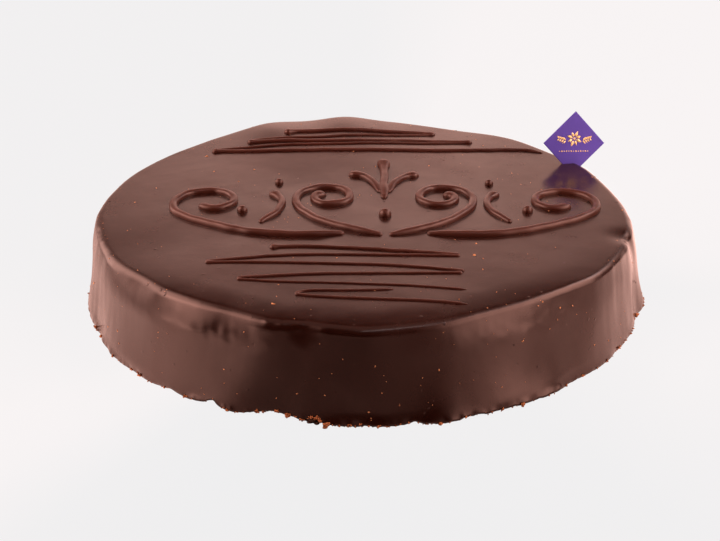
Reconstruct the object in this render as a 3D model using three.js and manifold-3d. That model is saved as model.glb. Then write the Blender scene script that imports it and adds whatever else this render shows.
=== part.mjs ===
// Sachertorte: a low round chocolate cake under a poured chocolate glaze, with piped lines and a piped
// scroll on top, and a small square card pressed into the glaze by one corner.
// Millimetres, +Z up, origin at the middle of the base, -Y towards the front.
import * as THREE from "three";
import { mergeVertices } from "three/addons/utils/BufferGeometryUtils.js";
import Module from "manifold-3d";

const wasm = await Module();
wasm.setup();

// ---------------------------------------------------------------- driving dimensions
const TOP_Z = 42.4; // height of the glazed top, away from its swells
const RIM_R = 127.4; // mean radius where the top turns down into the side
const RIM_OVAL = 1.9; // the rim is this much wider along X and narrower along Y
const RIM_ROUND = 4.2; // usual radius of the rounded edge
const FOOT_R = 134.7; // radius of the glaze foot
const FOOT_CURVE = 1.6; // how the side turns out to the foot: 1 is a straight slope
const WALL_BULGE = 1.1; // the side rounds out this much below the rim, more where it swells,
const BULGE_DEPTH = 12; // and is at its widest this far below the rounded edge
const WAVE_FADE = 0.6; // this share of the rim's small waves is gone there
const GLAZE = 3.0; // thickness of the glaze
const GAP = 0.3; // clearance between neighbouring pieces
const HEM_Z = 0.75; // usual height of the glaze's lower edge above the floor
const TEETH_HIGH = 0.3; // small teeth along that edge reach this much up and down
const HEM_TUCK = 0.4; // the inner side of that edge is this much higher
const CARD_SIDE = 23.6; // square card
const CARD_THICK = 0.7;
const CARD_MIDDLE = [109.4, 66.3, 52.7]; // centre of the card, whose lowest corner is sunk in
const CARD_YAW = 12.5; // degrees, its right-hand corner turned to the back
const CARD_LEAN = 10; // degrees, leaning to the back
const CARD_ROLL = 4; // degrees, its top corner tipped to the right
const SEGMENTS = 144; // facets round the outside
const CORE_SEGMENTS = 72; // facets round the sponge and the glaze's inside

// ---------------------------------------------------------------- the hand-made outline
// Each swell is a soft bump in the outline: at and wide in degrees round +Z, the rest in millimetres.
// The rim has small waves too.
const RIM_SWELLS = [
  { at: 10, wide: 13, out: -1.2 },
  { at: 29, wide: 8, out: 2.0 },
  { at: 53, wide: 12.5, out: 4.9 },
  { at: 85, wide: 11, out: 1.1 },
  { at: 124, wide: 14, out: 3.6 },
  { at: 152, wide: 14, out: 1.6 },
  { at: 241, wide: 12, out: -1.6 },
  { at: 294, wide: 10, out: -1.2 },
  { at: 309, wide: 15, out: -4.6 },
];
const RIM_WAVES = [
  { at: 218, wide: 5, out: -0.6 },
  { at: 225, wide: 4, out: 0.7 },
  { at: 251, wide: 5, out: 1.0 },
  { at: 258, wide: 2.5, out: -1.2 },
  { at: 270, wide: 5, out: 1.4 },
  { at: 296, wide: 10, out: -1.0 },
  { at: 325, wide: 6, out: 0.8 },
  { at: 345.5, wide: 2.6, out: -1.8 },
];
const FOOT_SWELLS = [
  { at: 353, wide: 5, out: 2.6 },
  { at: 31, wide: 11, out: -2.0 },
  { at: 74, wide: 6, out: -3.4 },
  { at: 101, wide: 9, out: 0.8 },
  { at: 128, wide: 6, out: -3.2 },
  { at: 160, wide: 9, out: -1.4 },
  { at: 184, wide: 8, out: 0.7 },
  { at: 202, wide: 5, out: -1.4 },
  { at: 253.6, wide: 5.5, out: -2.2 },
  { at: 266, wide: 8, out: 0.8 },
  { at: 284.5, wide: 5, out: 1.4 },
  { at: 314, wide: 5, out: -1.6 },
  { at: 332, wide: 9, out: -1.2 },
  { at: 346, wide: 4, out: -1.8 },
];
const BULGE_SWELLS = [
  { at: 228, wide: 20, out: 2.3 },
  { at: 300, wide: 9, out: 0.5 },
];
// Where the rounded edge is wider or sharper.
const ROUND_SWELLS = [
  { at: 226, wide: 26, out: 1.8 },
  { at: 312, wide: 24, out: -1.2 },
];
const HEM_LIFTS = [
  { at: 74, wide: 5, up: 1.8 },
  { at: 128, wide: 5, up: 1.5 },
  { at: 231.5, wide: 1.5, up: 0.8 },
  { at: 240.8, wide: 1.8, up: 2.3 },
  { at: 253.6, wide: 4.4, up: 2.5 },
  { at: 279, wide: 1.8, up: 1.0 },
  { at: 290, wide: 2.6, up: 0.7 },
  { at: 318, wide: 7, up: 0.6 },
];
// Swells of the top face: a bump of that height round a point at that angle and radius, that wide along
// the rim and that deep towards the middle.
const TOP_SWELLS = [
  { at: 102, r: 114, wide: 58, deep: 58, up: 4.2 },
  { at: 95, r: 122, wide: 14, deep: 24, up: 1.9 },
  { at: 115, r: 121, wide: 15, deep: 24, up: 1.6 },
  { at: 205, r: 112, wide: 26, deep: 26, up: -0.7 },
  { at: 345.5, r: 126, wide: 7, deep: 7, up: -1.1 },
];
const FRONT_DROOP = 1.3; // the top sinks this much towards the front rim,
const BACK_DROOP = 0.1; // and this much towards the back rim,
const DROOP_FROM = 0.84; // starting at this share of the rim's radius

const RAD = Math.PI / 180;
const turned = (angle, at) => ((((angle - at) % 360) + 540) % 360) - 180;
const sumSwells = (swells, angle, key) =>
  swells.reduce((sum, s) => sum + s[key] * Math.exp(-((turned(angle, s.at) / s.wide) ** 2)), 0);
const smooth = (t) => {
  const c = Math.min(1, Math.max(0, t));
  return c * c * (3 - 2 * c);
};
const mix = (a, b, t) => a + (b - a) * t;

const rimRound = (angle) => RIM_ROUND + sumSwells(ROUND_SWELLS, angle, "out");
const rimWaves = (angle) => sumSwells(RIM_WAVES, angle, "out");
const rimRadius = (angle) =>
  RIM_R + RIM_OVAL * Math.cos(2 * angle * RAD) + sumSwells(RIM_SWELLS, angle, "out") + rimWaves(angle);

// Small uneven teeth along the glaze's lower edge, from -1 to 1.
const teeth = (angle) =>
  0.5 * Math.sin(11 * angle * RAD + 0.7) +
  0.3 * Math.sin(23 * angle * RAD + 2.1) +
  0.2 * Math.sin(37 * angle * RAD + 4.0);
const footRadius = (angle) => FOOT_R + sumSwells(FOOT_SWELLS, angle, "out");
const hemHeight = (angle) => HEM_Z + sumSwells(HEM_LIFTS, angle, "up") + TEETH_HIGH * teeth(angle);

// Height of the top face at a point, up to the rounded edge.
function topHeight(x, y) {
  const r = Math.hypot(x, y);
  const angle = Math.atan2(y, x) / RAD;
  const droop = mix(BACK_DROOP, FRONT_DROOP, smooth(-y / Math.max(r, 1)));
  const share = Math.max(0, (r / rimRadius(angle) - DROOP_FROM) / (1 - DROOP_FROM));
  let z = TOP_Z - droop * share * share;
  for (const s of TOP_SWELLS) {
    const [c, n] = [Math.cos(s.at * RAD), Math.sin(s.at * RAD)];
    const outwards = (x * c + y * n - s.r) / s.deep;
    const along = (y * c - x * n) / s.wide;
    z += s.up * Math.exp(-outwards * outwards - along * along);
  }
  return z;
}

// Outer radius of the side without its foot.
function barrelRadius(angle, z) {
  const rest = 1 - Math.min(1, Math.max(0, (TOP_Z - RIM_ROUND - z) / BULGE_DEPTH));
  const bulge = WALL_BULGE + sumSwells(BULGE_SWELLS, angle, "out") - WAVE_FADE * rimWaves(angle);
  return rimRadius(angle) + bulge * (1 - rest * rest);
}

// Outer radius of the side, which flares out to the foot.
function wallRadius(angle, z) {
  const edge = TOP_Z - RIM_ROUND;
  const flare = Math.max(0, (edge - z) / (edge - HEM_Z)) ** FOOT_CURVE;
  return mix(barrelRadius(angle, z), footRadius(angle), flare);
}

// ---------------------------------------------------------------- solids from rings
const polar = (angle, r, z) => [r * Math.cos(angle * RAD), r * Math.sin(angle * RAD), z];

// A ring is a closed loop of points round +Z, the first at angle 0. Coarse and fine rings can be mixed.
function ring(count, radiusAt, heightAt) {
  return Array.from({ length: count }, (_, i) => {
    const angle = (i * 360) / count;
    const r = radiusAt(angle);
    return polar(angle, r, heightAt(angle, r));
  });
}

// A closed solid from a first point, rings and a last point, each joined to the next by triangles.
// The rings run down its outside, or up it where upward says so.
function ringSolid(first, rings, last, upward = false) {
  const loops = [[first], ...rings, [last]];
  const starts = loops.map((_, j) => loops.slice(0, j).reduce((sum, loop) => sum + loop.length, 0));
  const faces = [];
  for (let j = 0; j + 1 < loops.length; j++) {
    const [n, m] = [loops[j].length, loops[j + 1].length];
    const near = (i) => starts[j] + (i % n);
    const far = (k) => starts[j + 1] + (k % m);
    const [nearSteps, farSteps] = [n > 1 ? n : 0, m > 1 ? m : 0];
    let i = 0;
    let k = 0;
    while (i < nearSteps || k < farSteps) {
      if (k < farSteps && (i === nearSteps || (k + 1) * n <= (i + 1) * m)) {
        faces.push(near(i), far(k), far(k + 1));
        k += 1;
      } else {
        faces.push(near(i), far(k), near(i + 1));
        i += 1;
      }
    }
  }
  if (upward) faces.reverse();
  const geometry = new THREE.BufferGeometry();
  geometry.setAttribute("position", new THREE.Float32BufferAttribute(loops.flat(2), 3));
  geometry.setIndex(faces);
  return geometry;
}

// A three.js geometry, moved by a matrix, as a manifold-3d solid, and back.
function toSolid(geometry, matrix = new THREE.Matrix4()) {
  const bare = geometry.clone().applyMatrix4(matrix);
  bare.deleteAttribute("normal");
  bare.deleteAttribute("uv");
  const merged = mergeVertices(bare, 1e-4);
  return new wasm.Manifold(
    new wasm.Mesh({
      numProp: 3,
      vertProperties: new Float32Array(merged.attributes.position.array),
      triVerts: new Uint32Array(merged.index.array),
    }),
  );
}
function toGeometry(solid) {
  const mesh = solid.getMesh();
  const geometry = new THREE.BufferGeometry();
  geometry.setAttribute("position", new THREE.BufferAttribute(mesh.vertProperties, 3));
  geometry.setIndex(new THREE.BufferAttribute(mesh.triVerts, 1));
  geometry.computeVertexNormals();
  return geometry;
}

// ---------------------------------------------------------------- sponge and glaze
// Height of the top at a ring's point.
const topAt = (angle, r) => topHeight(r * Math.cos(angle * RAD), r * Math.sin(angle * RAD));

// Rings up the sponge's side and over its top, moved out by grow: GAP gives the glaze's inside.
const CORE_SIDE = [TOP_Z - RIM_ROUND - BULGE_DEPTH, TOP_Z - RIM_ROUND - GLAZE]; // heights
const CORE_TOP = [
  { share: 0.975, drop: 0.6, count: CORE_SEGMENTS },
  { share: 0.85, drop: 0, count: CORE_SEGMENTS },
  { share: 0.6, drop: 0, count: CORE_SEGMENTS / 2 },
  { share: 0.3, drop: 0, count: CORE_SEGMENTS / 4 },
];
function coreRings(grow) {
  const inset = GLAZE + GAP - grow;
  const side = (z) => ring(CORE_SEGMENTS, (a) => barrelRadius(a, z) - inset, () => z);
  const top = ({ share, drop, count }) =>
    ring(count, (a) => share * (rimRadius(a) - inset), (a, r) => topAt(a, r) - inset - drop);
  return [...CORE_SIDE.map(side), ...CORE_TOP.map(top)];
}

function spongeGeometry() {
  const base = ring(CORE_SEGMENTS, (a) => barrelRadius(a, 0) - GLAZE - GAP, () => 0);
  return ringSolid([0, 0, 0], [base, ...coreRings(0)], [0, 0, topAt(0, 0) - GLAZE - GAP], true);
}

const TOP_RINGS = [
  { share: 0.25, count: 24 },
  { share: 0.45, count: 36 },
  { share: 0.62, count: 48 },
  { share: 0.76, count: 72 },
  { share: 0.87, count: SEGMENTS },
];
const ROUND_STEPS = [0, 30, 60]; // degrees round the rim's edge
const SIDE_HEIGHTS = [35.5, 30, 20, 10, 4];

function glazeGeometry() {
  const flat = ({ share, count }) => ring(count, (a) => share * (rimRadius(a) - rimRound(a)), topAt);
  const round = (turn) =>
    ring(
      SEGMENTS,
      (a) => rimRadius(a) - rimRound(a) * (1 - Math.sin(turn * RAD)),
      (a, r) => topAt(a, r) - rimRound(a) * (1 - Math.cos(turn * RAD)),
    );
  const side = (z) => ring(SEGMENTS, (a) => wallRadius(a, z), () => z);
  const hem = ring(SEGMENTS, (a) => wallRadius(a, hemHeight(a)), hemHeight);
  const tuck = ring(CORE_SEGMENTS, (a) => barrelRadius(a, 0) - GLAZE, (a) => hemHeight(a) + HEM_TUCK);
  const outside = [...TOP_RINGS.map(flat), ...ROUND_STEPS.map(round), ...SIDE_HEIGHTS.map(side), hem];
  const inside = [tuck, ...coreRings(GAP)];
  return ringSolid([0, 0, topAt(0, 0)], [...outside, ...inside], [0, 0, topAt(0, 0) - GLAZE]);
}

// ---------------------------------------------------------------- piping
// A piped bead along a curve through knots on the top.
const BEAD_SECTION = [[-0.5, -0.25], [-0.42, 0.38], [0, 0.56], [0.42, 0.38], [0.5, -0.25]]; // widths
const BLEND = 1.6; // a head or tail fades out over this many widths
const END_SHARE = 0.6; // the first and last sections are this share of the width,
const END_REACH = 0.4; // and the bead's point stands out this many widths past them

function beadGeometry({ steps, wide, head, tail, knots }) {
  const points = knots.map(([x, y]) => new THREE.Vector3(x, y, 0));
  const curve = new THREE.CatmullRomCurve3(points, false, "centripetal");
  const length = curve.getLength();
  const widthAt = (t) => {
    const nearHead = Math.exp(-(((t * length) / (BLEND * wide)) ** 2));
    const nearTail = Math.exp(-((((1 - t) * length) / (BLEND * wide)) ** 2));
    return wide * (1 + (head - 1) * nearHead + (tail - 1) * nearTail);
  };
  // A point at t along the curve, moved by offsets forwards, to the left and up.
  const beadPoint = (t, forwards, left, up) => {
    const { x, y } = curve.getPointAt(t);
    const along = curve.getTangentAt(t);
    return [
      x + along.x * forwards - along.y * left,
      y + along.y * forwards + along.x * left,
      topHeight(x, y) + up,
    ];
  };
  const rings = Array.from({ length: steps + 1 }, (_, i) => {
    const t = i / steps;
    const w = widthAt(t) * (i === 0 || i === steps ? END_SHARE : 1);
    return BEAD_SECTION.map(([left, up]) => beadPoint(t, 0, left * w, up * w));
  });
  const first = beadPoint(0, -END_REACH * widthAt(0), 0, 0);
  const last = beadPoint(1, END_REACH * widthAt(1), 0, 0);
  return ringSolid(first, rings, last);
}

// Points of a spiral from radius r0 at angle a0 to radius r1 at angle a1.
function spiral([x, y], r0, r1, a0, a1, count) {
  return Array.from({ length: count }, (_, i) => {
    const t = i / (count - 1);
    const [dx, dy] = polar(mix(a0, a1, t), mix(r0, r1, t), 0);
    return [x + dx, y + dy];
  });
}

// One stroke: its number of sections, its width, how many times as wide its ends are, and its knots.
const line = (steps, wide, head, tail, ...knots) => ({ steps, wide, head, tail, knots });

// Drizzled lines behind the scroll: three firm passes joined by thinner returns.
const BACK_LINES = [
  line(12, 2.5, 2.2, 1.7, [-43.5, 98], [-34, 100.2], [-10, 102.2], [15, 104.5], [39, 104.8]),
  line(12, 1.6, 1, 1, [38.5, 104.2], [20, 100], [-15, 94.2], [-46, 91], [-63, 90]),
  line(12, 2.3, 2.2, 1.8, [-63, 88], [-38, 87.6], [-7, 88.2], [28, 92.2], [58.5, 93.8]),
  line(12, 1.6, 1, 1, [58, 93.4], [38, 90.6], [17, 88], [-15, 84], [-46, 82.3], [-81, 79.5]),
  line(12, 2.2, 2.1, 0.7, [-81, 77.8], [-60, 76], [-28, 75.4], [17, 78], [58, 81.6], [86, 82.4], [95, 79]),
];
// The finer zigzag in front of it.
const FRONT_LINES = [
  line(10, 1.9, 2.4, 1.2, [-43.5, -45.5], [-29, -44.6], [-8, -46], [18, -49.2], [43.5, -53.6]),
  line(10, 1.5, 1.3, 1.3, [43.5, -54.6], [20, -53.8], [-8, -53.4], [-38, -54.8], [-71.5, -60.8]),
  line(10, 1.5, 1.5, 1.3, [-71.5, -62], [-50, -61.9], [-20, -63.2], [14, -64.8], [44.5, -71]),
  line(10, 1.5, 1.5, 1.3, [43.5, -72.8], [14, -73.2], [-22, -74.6], [-56, -78.2]),
  line(10, 1.2, 1.5, 0.5, [-56, -79.6], [-38, -82.2], [-8, -84], [22, -86.4], [44.5, -90.2]),
  line(10, 1.3, 1.4, 0.5, [-30, -94.2], [-25, -91.6], [-8, -91.2], [13, -90.2]),
  line(10, 1.4, 1.4, 0.5, [-30, -95], [-18, -97.4], [6, -99.6], [26, -101.4], [44, -104.2]),
];

// The piped scroll across the middle, mirrored about a line along Y through its middle. Its knots are
// measured from that middle, and side is 1 for the right half and -1 for the left half.
const SCROLL_MIDDLE = [10, 2];
const SCROLL_WIDE = 4.2; // width of its main strokes,
const LEAF_WIDE = 3.7; // and of its leaves
const scrolled = ({ knots, ...stroke }, side) => ({
  ...stroke,
  knots: knots.map(([x, y]) => [SCROLL_MIDDLE[0] + side * x, SCROLL_MIDDLE[1] + y]),
});
const PEARL_LIFT = 0.15; // a pearl's centre is this share of its radius above the glaze
const HEART_EYE = spiral([28, 12], 4.5, 15.5, 440, 0, 13);
const BRANCH_EYE = spiral([85, 6], 20, 4.8, -48, 330, 12);
const scrollStrokes = (side) =>
  [
    line(42, SCROLL_WIDE, 1.5, 0.75, ...HEART_EYE, [40, -4], [29, -18], [14, -28], [1.4, -33]),
    line(44, SCROLL_WIDE, 0.75, 1.5, [19, -31], [40, -33.5], [62, -30], [81, -21], ...BRANCH_EYE),
    line(10, LEAF_WIDE, 1.8, 0.8, [56, 19], [50.5, 9], [52, -5], [60, -18]),
    line(8, LEAF_WIDE, 1.7, 0.8, [18, 43], [11, 40], [5, 31], [2, 20]),
  ].map((stroke) => scrolled(stroke, side));
const STEM = line(8, SCROLL_WIDE, 1.9, 0.8, [0, 60], [0, 40], [0, 12]);
const PEARLS = [
  { x: 0, y: -9, radius: 3.1 },
  { x: 69, y: -4, radius: 2.6 },
  { x: -69, y: -4, radius: 2.6 },
  { x: 53, y: 32, radius: 2.2 },
  { x: -53, y: 32, radius: 2.2 },
];

const strokes = [
  ...BACK_LINES,
  ...FRONT_LINES,
  ...scrollStrokes(-1),
  ...scrollStrokes(1),
  scrolled(STEM, 1),
];

// A piped pearl: a ball with its lower part sunk in the glaze.
function pearl({ x, y, radius }) {
  const [px, py] = [SCROLL_MIDDLE[0] + x, SCROLL_MIDDLE[1] + y];
  const middle = new THREE.Matrix4().makeTranslation(px, py, topHeight(px, py) + PEARL_LIFT * radius);
  return toSolid(new THREE.IcosahedronGeometry(radius, 1), middle);
}

// ---------------------------------------------------------------- card and what it is pressed into
const cardPose = new THREE.Matrix4().compose(
  new THREE.Vector3(...CARD_MIDDLE),
  new THREE.Quaternion().setFromEuler(
    new THREE.Euler(-CARD_LEAN * RAD, (45 + CARD_ROLL) * RAD, CARD_YAW * RAD, "ZXY"),
  ),
  new THREE.Vector3(1, 1, 1),
);
const slot = toSolid(
  new THREE.BoxGeometry(CARD_SIDE + 2 * GAP, CARD_THICK + 2 * GAP, CARD_SIDE + 2 * GAP),
  cardPose,
);

// A chipped hollow in the glaze's foot, at the front. It stops short of the sponge.
const CHIP = { at: 260.8, r: 132, wide: 4.2, deep: 7, high: 3.2 };
const chip = toSolid(
  new THREE.IcosahedronGeometry(1, 1),
  new THREE.Matrix4().compose(
    new THREE.Vector3(...polar(CHIP.at, CHIP.r, 0)),
    new THREE.Quaternion().setFromAxisAngle(new THREE.Vector3(0, 0, 1), CHIP.at * RAD),
    new THREE.Vector3(CHIP.deep, CHIP.wide, CHIP.high),
  ),
);

// ---------------------------------------------------------------- the model
const materials = {
  sponge: new THREE.MeshStandardMaterial({ color: 0x6b3a1e, roughness: 0.95, metalness: 0 }),
  glaze: new THREE.MeshStandardMaterial({ color: 0x4a2a20, roughness: 0.3, metalness: 0 }),
  card: new THREE.MeshStandardMaterial({ color: 0x563b86, roughness: 0.5, metalness: 0 }),
};

function node(name, geometry) {
  const mesh = new THREE.Mesh(geometry, materials[name]);
  mesh.name = name;
  return mesh;
}

const sponge = toSolid(spongeGeometry()).subtract(slot);
const piping = [...strokes.map((stroke) => toSolid(beadGeometry(stroke))), ...PEARLS.map(pearl)];
const piped = piping.reduce((whole, bead) => whole.add(bead), toSolid(glazeGeometry()));
const glaze = piped.subtract(slot).subtract(chip);

const card = node("card", new THREE.BoxGeometry(CARD_SIDE, CARD_THICK, CARD_SIDE));
card.applyMatrix4(cardPose);

const group = new THREE.Group();
group.add(node("sponge", toGeometry(sponge)), node("glaze", toGeometry(glaze)), card);

export default group;
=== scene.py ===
# Sachertorte: a low round cake under a poured chocolate glaze, with drizzled lines, a piped scroll and
# a small card. Lengths are in millimetres until a mesh is made, and angles are in degrees round +Z. The
# floor and the lights are in metres.
import math

import bpy
import numpy as np
from mathutils import Euler, Matrix, Vector


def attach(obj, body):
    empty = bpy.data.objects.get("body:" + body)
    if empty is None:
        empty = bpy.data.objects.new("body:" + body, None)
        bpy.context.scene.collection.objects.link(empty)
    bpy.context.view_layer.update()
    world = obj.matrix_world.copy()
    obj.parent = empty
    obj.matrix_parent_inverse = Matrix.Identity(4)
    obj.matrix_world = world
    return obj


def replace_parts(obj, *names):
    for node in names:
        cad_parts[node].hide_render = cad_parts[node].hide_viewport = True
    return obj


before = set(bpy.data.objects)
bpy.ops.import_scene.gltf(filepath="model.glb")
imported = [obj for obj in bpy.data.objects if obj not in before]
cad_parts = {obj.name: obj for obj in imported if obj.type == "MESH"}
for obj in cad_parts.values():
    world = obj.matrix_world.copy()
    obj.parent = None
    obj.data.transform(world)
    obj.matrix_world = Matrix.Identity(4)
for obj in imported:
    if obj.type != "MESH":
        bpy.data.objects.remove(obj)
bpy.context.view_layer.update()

MM = 0.001

# ---------------------------------------------------------------- the cake's form, as in the CAD source
TOP_Z = 42.4
RIM_R = 127.4
RIM_OVAL = 1.9
RIM_ROUND = 4.2
FOOT_R = 134.7
FOOT_CURVE = 1.6
WALL_BULGE = 1.1
BULGE_DEPTH = 12.0
WAVE_FADE = 0.6
GLAZE = 3.0
HEM_Z = 0.75
TEETH_HIGH = 0.3
FRONT_DROOP, BACK_DROOP = 1.3, 0.1
DROOP_FROM = 0.84
# Soft bumps of the outline: angle, width in degrees, size.
RIM_SWELLS = (
    (10, 13, -1.2), (29, 8, 2.0), (53, 12.5, 4.9), (85, 11, 1.1), (124, 14, 3.6), (152, 14, 1.6),
    (241, 12, -1.6), (294, 10, -1.2), (309, 15, -4.6),
)
RIM_WAVES = (
    (218, 5, -0.6), (225, 4, 0.7), (251, 5, 1.0), (258, 2.5, -1.2), (270, 5, 1.4), (296, 10, -1.0),
    (325, 6, 0.8), (345.5, 2.6, -1.8),
)
FOOT_SWELLS = (
    (353, 5, 2.6), (31, 11, -2.0), (74, 6, -3.4), (101, 9, 0.8), (128, 6, -3.2), (160, 9, -1.4),
    (184, 8, 0.7), (202, 5, -1.4), (253.6, 5.5, -2.2), (266, 8, 0.8), (284.5, 5, 1.4), (314, 5, -1.6),
    (332, 9, -1.2), (346, 4, -1.8),
)
BULGE_SWELLS = ((228, 20, 2.3), (300, 9, 0.5))
ROUND_SWELLS = ((226, 26, 1.8), (312, 24, -1.2)) # where the rounded edge is wider or sharper
ROUND_PASSES = 8 # steps in which the rounded edge's end is worked out
HEM_LIFTS = (
    (74, 5, 1.8), (128, 5, 1.5), (231.5, 1.5, 0.8), (240.8, 1.8, 2.3), (253.6, 4.4, 2.5), (279, 1.8, 1.0),
    (290, 2.6, 0.7), (318, 7, 0.6),
)
# Bumps of the top: angle, distance from the middle, width along the rim and towards the middle, height.
TOP_SWELLS = (
    (102, 114, 58, 58, 4.2), (95, 122, 14, 24, 1.9), (115, 121, 15, 24, 1.6), (205, 112, 26, 26, -0.7),
    (345.5, 126, 7, 7, -1.1),
)
# The chipped hollow under the foot: angle, half its width in degrees, height.
CHIP_ANGLE, CHIP_HALF, CHIP_HIGH = 260.8, 1.9, 3.2


def smooth(t):
    """A soft step, from 0 at 0 to 1 at 1."""
    c = np.clip(t, 0, 1)
    return c * c * (3 - 2 * c)


def turned(angle, at):
    """How far an angle is turned from another, between -180 and 180."""
    return (angle - at + 180) % 360 - 180


def near(angle, at, wide):
    """1 at that angle, fading out over wide degrees."""
    return np.exp(-((turned(angle, at) / wide) ** 2))


def swells(angle, table):
    return sum(size * near(angle, at, wide) for at, wide, size in table)


def rim_radius(angle):
    return RIM_R + RIM_OVAL * np.cos(np.radians(2 * angle)) + swells(angle, RIM_SWELLS + RIM_WAVES)


def teeth(angle):
    """Small uneven teeth along the coat's lower edge, from -1 to 1."""
    a = np.radians(angle)
    return 0.5 * np.sin(11 * a + 0.7) + 0.3 * np.sin(23 * a + 2.1) + 0.2 * np.sin(37 * a + 4.0)


def foot_radius(angle):
    return FOOT_R + swells(angle, FOOT_SWELLS)


def hem_height(angle):
    return HEM_Z + swells(angle, HEM_LIFTS) + TEETH_HIGH * teeth(angle)


def top_height(x, y):
    r = np.hypot(x, y)
    rim = rim_radius(np.degrees(np.arctan2(y, x)))
    droop = BACK_DROOP + (FRONT_DROOP - BACK_DROOP) * smooth(-y / np.maximum(r, 1))
    z = TOP_Z - droop * np.clip((r / rim - DROOP_FROM) / (1 - DROOP_FROM), 0, None) ** 2
    for at, far, wide, deep, up in TOP_SWELLS:
        c, s = math.cos(math.radians(at)), math.sin(math.radians(at))
        z = z + up * np.exp(-(((x * c + y * s - far) / deep) ** 2) - ((y * c - x * s) / wide) ** 2)
    return z


def rim_round(angle):
    """Radius of the rounded edge."""
    return RIM_ROUND + swells(angle, ROUND_SWELLS)


def bulge(angle):
    """How far the side rounds out below the rim."""
    return WALL_BULGE + swells(angle, BULGE_SWELLS) - WAVE_FADE * swells(angle, RIM_WAVES)


def round_end(angle):
    """How far the edge is rounded, in degrees, before the side rounds out further without a crease."""
    end = 90 + 0 * angle
    for _ in range(ROUND_PASSES):
        short = rim_round(angle) * (1 - np.sin(np.radians(end)))
        end = 90 - np.degrees(np.arctan(2 * (bulge(angle) + short) / BULGE_DEPTH))
    return end


def edge_left(z, edge):
    """1 at the rounded edge's lower end, down to 0 where the side is at its widest."""
    return 1 - np.clip((edge - z) / BULGE_DEPTH, 0, 1)


def barrel_radius(angle, z, edge=TOP_Z - RIM_ROUND):
    """Radius of the side without the flare of its foot; edge is the height where the rounded edge ends."""
    return rim_radius(angle) + bulge(angle) * (1 - edge_left(z, edge) ** 2)


def wall_radius(angle, z, edge=TOP_Z - RIM_ROUND):
    """Radius of the side, with its flared foot."""
    flare = np.clip((edge - z) / (edge - HEM_Z), 0, None) ** FOOT_CURVE
    return barrel_radius(angle, z, edge) * (1 - flare) + foot_radius(angle) * flare


# ---------------------------------------------------------------- small relief
# Streaks of the spatula on the top: the way they run, their middle and half their field's size.
STREAK_TURN = 24
STREAK_MIDDLE = (-88, 38)
STREAK_FIELD = (42, 46)
# Dents where the side meets the rounded edge: their height and half its spread.
SHOULDER_Z, SHOULDER_HIGH = 33, 5
# Lumps on the front rim: angle, height, radius, and how far they stand out.
LUMPS = (
    (251.0, 40.6, 1.9, 0.25), (254.0, 40.4, 1.7, 0.30), (257.4, 40.5, 2.2, 0.45), (262.0, 39.0, 1.6, 0.30),
)
LUMP_SINK = 1.3 # how far inside the rim their middles lie


def ripples(points, shortest, longest, seed, stretch=(1, 1, 1), waves=26):
    """A smooth random field of rms 1 made of waves of those lengths, drawn out along each axis."""
    rng = np.random.default_rng(seed)
    ways = rng.normal(size=(waves, 3))
    ways /= np.linalg.norm(ways, axis=1)[:, None]
    lengths = np.exp(rng.uniform(math.log(shortest), math.log(longest), waves))
    turns = 2 * math.pi * ways / lengths[:, None] / np.array(stretch)
    phases = rng.uniform(0, 2 * math.pi, waves)
    return sum(np.cos(points @ way + phase) for way, phase in zip(turns, phases)) * math.sqrt(2 / waves)


def top_relief(x, y):
    """Slow waves and spatula streaks in the glaze of the top."""
    flat = np.stack([x, y, np.zeros_like(x)], -1)
    slow = 0.07 * ripples(flat, 45, 90, 11) + 0.012 * ripples(flat, 15, 28, 12)
    turn = math.radians(STREAK_TURN)
    along = x * math.cos(turn) + y * math.sin(turn)
    across = y * math.cos(turn) - x * math.sin(turn)
    drawn = np.stack([along, across, np.zeros_like(x)], -1)
    off_x = (x - STREAK_MIDDLE[0]) / STREAK_FIELD[0]
    off_y = (y - STREAK_MIDDLE[1]) / STREAK_FIELD[1]
    streaked = np.exp(-(off_x**2) - off_y**2)
    streaks = 0.010 * ripples(drawn, 3.5, 9, 13, stretch=(9, 1, 1)) * (0.06 + streaked)
    return slow + streaks


def side_relief(points, angle, z):
    """Runs down the flanks, dents below the front's rim and slow waves in the glaze of the side."""
    flanks = near(angle, 200, 22) + near(angle, 345, 24) + 0.5 * near(angle, 90, 70)
    runs = 0.10 * ripples(points, 13, 28, 21, stretch=(1, 1, 3)) * (0.3 + flanks)
    runs = runs + 0.03 * ripples(points, 5, 9, 22, stretch=(1, 1, 5)) * (0.2 + flanks)
    shoulder = np.exp(-(((z - SHOULDER_Z) / SHOULDER_HIGH) ** 2))
    dented = near(angle, 236, 14) + 1.3 * near(angle, 306, 13) + 0.2
    dents = (0.08 * ripples(points, 9, 18, 23) + 0.03 * ripples(points, 4, 8, 25)) * shoulder * dented
    slow = 0.20 * ripples(points, 28, 60, 24)
    return runs + dents + slow


def lumps(points):
    """How far the lumps stand out at each point."""
    sizes = 0
    for at, z, wide, proud in LUMPS:
        a = math.radians(at)
        r = rim_radius(at) - LUMP_SINK
        spot = np.array([r * math.cos(a), r * math.sin(a), z])
        sizes = sizes + proud * np.exp(-((points - spot) ** 2).sum(1) / wide**2)
    return sizes


# ---------------------------------------------------------------- mesh helpers
FUSE_SMOOTHINGS = 3


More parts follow.
